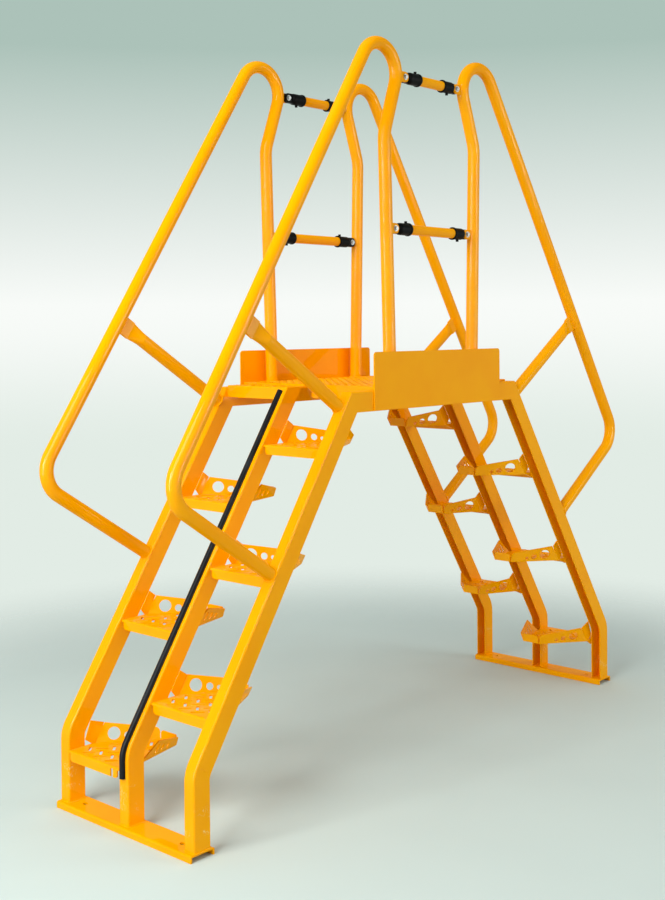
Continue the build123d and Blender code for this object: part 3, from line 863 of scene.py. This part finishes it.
class LADDER_OT_platform_grip(bpy.types.Operator):
    """Adds the raised pattern of the platform's plate and of its two noses."""

    bl_idname = "ladder.platform_grip"
    bl_label = "Platform grip"

    def execute(self, context):
        grip = context.scene.ladder_grip
        paint = material_of("dusty_powder_coat", paint_material, dusty=True)
        tree = lens_tree(paint)
        plate_low, plate_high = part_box("platform_plate")
        deck_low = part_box("platform_deck")[0]
        edge = grip.lens_length * LENS_EDGE
        nose_inner, nose_outer = -plate_low.x, -deck_low.x - NOSE_FOLD
        column_low, column_high = STRINGER_HALF, 2 * COLUMN - STRINGER_HALF
        areas = {
            "platform_grip": ((plate_low.x, plate_low.y), (plate_high.x, plate_high.y), plate_high.z),
            "nose_grip_west": ((-nose_outer, column_low), (-nose_inner, column_high), DECK_TOP),
            "nose_grip_east": ((nose_inner, -column_high), (nose_outer, -column_low), DECK_TOP),
        }
        for name, (low, high, top) in areas.items():
            size = [high[axis] - low[axis] - 2 * edge for axis in (0, 1)]
            values = {
                "Middle": ((low[0] + high[0]) / 2, (low[1] + high[1]) / 2, top),
                "Rows": int(size[0] / grip.lens_pitch) + 1,
                "Columns": int(size[1] / grip.lens_pitch) + 1,
                "Pitch": grip.lens_pitch,
                "Length": grip.lens_length,
                "Width": grip.lens_width,
                "Height": grip.lens_height,
            }
            piece = run_tree(name, bpy.data.meshes.new(name), tree, values)
            if not piece.data.polygons:
                raise RuntimeError("no lenses on " + name)
            piece.data.shade_smooth()
            settle(piece)
        return {"FINISHED"}


def path_mesh(name, paths):
    """Mesh of edges along the paths; each is its points and whether it closes."""
    points, edges = [], []
    for path, closed in paths:
        first = len(points)
        points.extend(tuple(point) for point in path)
        edges.extend((first + i, first + i + 1) for i in range(len(path) - 1))
        if closed:
            edges.append((len(points) - 1, first))
    mesh = bpy.data.meshes.new(name)
    mesh.from_pydata(points, edges, [])
    return mesh


def weld_tree(material):
    """Rippled bead along each path."""
    inputs = {"Paths": "Geometry", "Bead": "Float", "Ripple": "Float"}
    tree, wire, given = geometry_tree("weld_bead", inputs)
    path = wire.node("GeometryNodeMeshToCurve", None, {"Mesh": given["Paths"]})
    sockets = {"Curve": path, "Length": given["Ripple"] * RIPPLE_STEP}
    path = wire.node("GeometryNodeResampleCurve", {"mode": "LENGTH"}, sockets)
    length = wire.node("GeometryNodeSplineParameter", out="Length")
    wave = wire.maths("SINE", length * (2 * math.pi) / given["Ripple"])
    sockets = {"Curve": path, "Radius": 1.0 + RIPPLE_SWELL * wave}
    path = wire.node("GeometryNodeSetCurveRadius", None, sockets)
    sockets = {"Resolution": 8, "Radius": given["Bead"]}
    section = wire.node("GeometryNodeCurvePrimitiveCircle", None, sockets)
    sockets = {"Curve": path, "Profile Curve": section, "Fill Caps": True}
    bead = wire.node("GeometryNodeCurveToMesh", None, sockets)
    finish_tree(wire, bead, material)
    return tree


def ring(centre, first, second, radius, steps=40):
    """Points of a circle in the plane of two ways."""
    turns = [2 * math.pi * i / steps for i in range(steps)]
    return [centre + (first * math.cos(turn) + second * math.sin(turn)) * radius for turn in turns]


def turned(paths):
    """The paths and their copies on the other flight."""
    other = [([Vector((-point.x, -point.y, point.z)) for point in path], closed) for path, closed in paths]
    return paths + other


class LADDER_OT_welds(bpy.types.Operator):
    """Adds the weld beads of the rails, braces and feet, and the seams at two knees."""

    bl_idname = "ladder.welds"
    bl_label = "Welds"

    def execute(self, context):
        sizes = context.scene.ladder_welds
        paint = material_of("yellow_powder_coat", paint_material)
        tree = weld_tree(paint)
        values = {"Bead": sizes.bead, "Ripple": sizes.ripple}
        piece = run_tree("weld_beads", path_mesh("weld_beads", turned(self.beads())), tree, values)
        piece.data.shade_smooth()
        settle(piece)
        values = {"Bead": sizes.seam, "Ripple": sizes.ripple}
        piece = run_tree("knee_seams", path_mesh("knee_seams", turned(self.seams())), tree, values)
        piece.data.shade_smooth()
        settle(piece)
        return {"FINISHED"}

    def beads(self):
        """Bead paths of the west flight."""
        across = Vector((0.0, 1.0, 0.0))
        up_slope = Vector((math.cos(SLOPE), 0.0, math.sin(SLOPE)))
        out = Vector((-math.sin(SLOPE), 0.0, math.cos(SLOPE)))
        round_tube = RAIL_RADIUS + BEAD_CLEAR
        half_bead = up_slope * BRACE_BEAD_HALF
        paths = []
        for side in (-1, 1):
            arm = Vector((slope_x(ARM_Z), side * 2 * COLUMN, ARM_Z))
            brace = Vector((slope_x(BRACE_Z), side * BRACE_Y, BRACE_Z))
            for centre in (arm, brace):
                paths.append((ring(centre, across, up_slope, round_tube), True))
            post = Vector((-POST_X, side * RAIL_Y, PLATE_TOP))
            paths.append((ring(post, Vector((1.0, 0.0, 0.0)), across, round_tube), True))
            flat = Vector((slope_x(BRACE_Z), side * BRACE_TOP_Y, BRACE_Z))
            flat += out * (RAIL_OFFSET - RAIL_RADIUS)
            for face in (-1, 1):
                middle = flat + across * (face * BRACE_HALF_FLAT)
                paths.append(([middle - half_bead, middle, middle + half_bead], False))
        for side in (-1, 0, 1):
            paths.append((self.foot(side * 2 * COLUMN), False))
        return paths

    def foot(self, y):
        """Path round a leg's front and sides where it stands on the base channel."""
        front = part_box("stringer_west_centre")[0].x
        back, top = front + STRINGER_DEPTH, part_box("base_channel_west")[1].z
        half = STRINGER_HALF
        corner = FOLD * FOLD_CUT
        spots = [
            (back, half), (front + FOLD, half), (front + corner, half - corner), (front, half - FOLD),
            (front, FOLD - half), (front + corner, corner - half), (front + FOLD, -half), (back, -half),
        ]
        return [Vector((x, y + offset, top)) for x, offset in spots]

    def seams(self):
        """Seam across the outer face of the right stringer's knee."""
        y = -2 * COLUMN - STRINGER_HALF
        front = Vector((slope_x(SEAM_FRONT_Z) + FOLD, y, SEAM_FRONT_Z))
        back = front + Vector((math.sin(SLOPE), 0.0, -math.cos(SLOPE))) * SEAM_LENGTH
        return [([front, front.lerp(back, 0.5), back], False)]


class LADDER_OT_stage(bpy.types.Operator):
    """Adds the floor, the background, the lights and the camera."""

    bl_idname = "ladder.stage"
    bl_label = "Studio"

    def execute(self, context):
        studio = context.scene.ladder_studio
        self.add_floor(studio)
        self.add_world(studio)
        self.add_lights()
        self.add_camera()
        context.scene.view_settings.view_transform = "Standard"
        return {"FINISHED"}

    def add_floor(self, studio):
        """Round pale floor that fades into the background."""
        mesh = bpy.data.meshes.new("floor")
        form = bmesh.new()
        bmesh.ops.create_circle(form, cap_ends=True, segments=96, radius=FLOOR_RADIUS)
        form.to_mesh(mesh)
        form.free()
        floor = bpy.data.objects.new("floor", mesh)
        bpy.context.scene.collection.objects.link(floor)
        floor.location.z = -FLOOR_DROP
        material, wire = new_material("studio_floor")
        place = object_place(wire)
        far = wire.node("ShaderNodeVectorMath", {"operation": "LENGTH"}, {0: place}, out="Value")
        fade = step(wire, far, *FLOOR_FADE)
        cloud = noise(wire, place, scale=1.2, detail=3.0)
        pale = opaque(studio.floor_colour)
        deeper = shaded(studio.floor_colour, gain=0.96)
        colour = blend(wire, step(wire, cloud, 0.3, 0.8), pale, deeper)
        sockets = {"Base Color": colour, "Roughness": 0.8, "Specular IOR Level": 0.0}
        base = wire.node("ShaderNodeBsdfPrincipled", None, sockets)
        clear = wire.node("ShaderNodeBsdfTransparent")
        mixed = wire.node("ShaderNodeMixShader", None, {0: fade, 1: base, 2: clear})
        wire.node("ShaderNodeOutputMaterial", None, {"Surface": mixed})
        mesh.materials.append(material)

    def add_world(self, studio):
        """Even light, and a background that pales towards the horizon for camera, gloss and glass."""
        world = bpy.data.worlds.new("studio")
        world.use_nodes = True
        world.node_tree.nodes.clear()
        wire = Wire(world.node_tree)
        way = wire.node("ShaderNodeTexCoord", out="Generated")
        height = wire.node("ShaderNodeSeparateXYZ", None, {0: way}, out="Z")
        sockets = {"Value": height, "From Min": BACK_RISE[0], "From Max": BACK_RISE[1]}
        rise = wire.node("ShaderNodeMapRange", None, sockets)
        colour = blend(wire, rise, opaque(studio.back_colour), opaque(studio.top_colour))
        overhead = step(wire, height, *CEILING_RISE)
        colour = blend(wire, overhead, colour, opaque(studio.ceiling_colour))
        below = step(wire, 0.0 - height, *FLOOR_FALL)
        colour = blend(wire, below, colour, opaque(studio.far_colour))
        seen = wire.node("ShaderNodeBackground", None, {"Color": colour, "Strength": 1.0})
        light = wire.node("ShaderNodeBackground", None, {"Color": (1, 1, 1, 1), "Strength": studio.ambient})
        camera = wire.node("ShaderNodeLightPath", out="Is Camera Ray")
        glossy = wire.node("ShaderNodeLightPath", out="Is Glossy Ray")
        through = wire.node("ShaderNodeLightPath", out="Is Transmission Ray")
        shown = camera.maths("MAXIMUM", camera, glossy.maths("MAXIMUM", glossy, through))
        mixed = wire.node("ShaderNodeMixShader", None, {0: shown, 1: light, 2: seen})
        wire.node("ShaderNodeOutputWorld", None, {"Surface": mixed})
        bpy.context.scene.world = world

    def add_lights(self):
        """Soft lamps, and upright strips that only the gloss shows."""
        for name, (place, aim, wide, high, power) in LAMPS.items():
            lamp = bpy.data.lights.new(name, "AREA")
            lamp.shape = "RECTANGLE"
            lamp.size = wide
            lamp.size_y = high
            lamp.energy = power
            light = bpy.data.objects.new(name, lamp)
            light.visible_diffuse = not name.startswith("strip")
            light.location = place
            light.rotation_euler = (Vector(aim) - Vector(place)).to_track_quat("-Z", "Y").to_euler()
            bpy.context.scene.collection.objects.link(light)

    def add_camera(self):
        """Camera at the photograph's viewing angle."""
        yaw, pitch, roll = (math.radians(angle) for angle in CAMERA_TURN)
        ahead = Vector((math.sin(yaw) * math.cos(pitch), math.cos(yaw) * math.cos(pitch), math.sin(pitch)))
        level = Vector((math.cos(yaw), -math.sin(yaw), 0.0))
        upright = level.cross(ahead)
        right = level * math.cos(roll) + upright * math.sin(roll)
        up = upright * math.cos(roll) - level * math.sin(roll)
        data = bpy.data.cameras.new("camera")
        data.sensor_width = CAMERA_SENSOR
        data.lens = CAMERA_LENS
        data.shift_y = CAMERA_SHIFT
        camera = bpy.data.objects.new("camera", data)
        turn = Matrix((right, up, -ahead)).transposed()
        camera.matrix_world = Matrix.Translation(CAMERA_PLACE) @ turn.to_4x4()
        bpy.context.scene.collection.objects.link(camera)
        bpy.context.scene.camera = camera


OPERATORS = (
    LADDER_OT_paint,
    LADDER_OT_treads,
    LADDER_OT_platform_grip,
    LADDER_OT_welds,
    LADDER_OT_bolts,
    LADDER_OT_stage,
)


class LADDER_PT_panel(bpy.types.Panel):
    """Lists the ladder's steps."""

    bl_label = "Crossover ladder"
    bl_idname = "LADDER_PT_panel"
    bl_space_type = "VIEW_3D"
    bl_region_type = "UI"
    bl_category = "Ladder"

    def draw(self, context):
        for operator in OPERATORS:
            self.layout.operator(operator.bl_idname)


GROUPS = {
    "ladder_finish": LadderFinish,
    "ladder_grip": LadderGrip,
    "ladder_welds": LadderWelds,
    "ladder_fixings": LadderFixings,
    "ladder_studio": LadderStudio,
}


def register():
    """Registers the classes and hangs the settings on the scene."""
    for kind in (*GROUPS.values(), *OPERATORS, LADDER_PT_panel):
        bpy.utils.register_class(kind)
    for name, group in GROUPS.items():
        setattr(bpy.types.Scene, name, bpy.props.PointerProperty(type=group))


def unregister():
    """Takes the settings and classes away again."""
    for name in GROUPS:
        delattr(bpy.types.Scene, name)
    for kind in reversed((*GROUPS.values(), *OPERATORS, LADDER_PT_panel)):
        bpy.utils.unregister_class(kind)


def main():
    """Builds everything in order."""
    register()
    bpy.ops.ladder.paint()
    bpy.ops.ladder.treads()
    bpy.ops.ladder.platform_grip()
    bpy.ops.ladder.welds()
    bpy.ops.ladder.bolts()
    bpy.ops.ladder.stage()


if __name__ == "__main__":
    main()
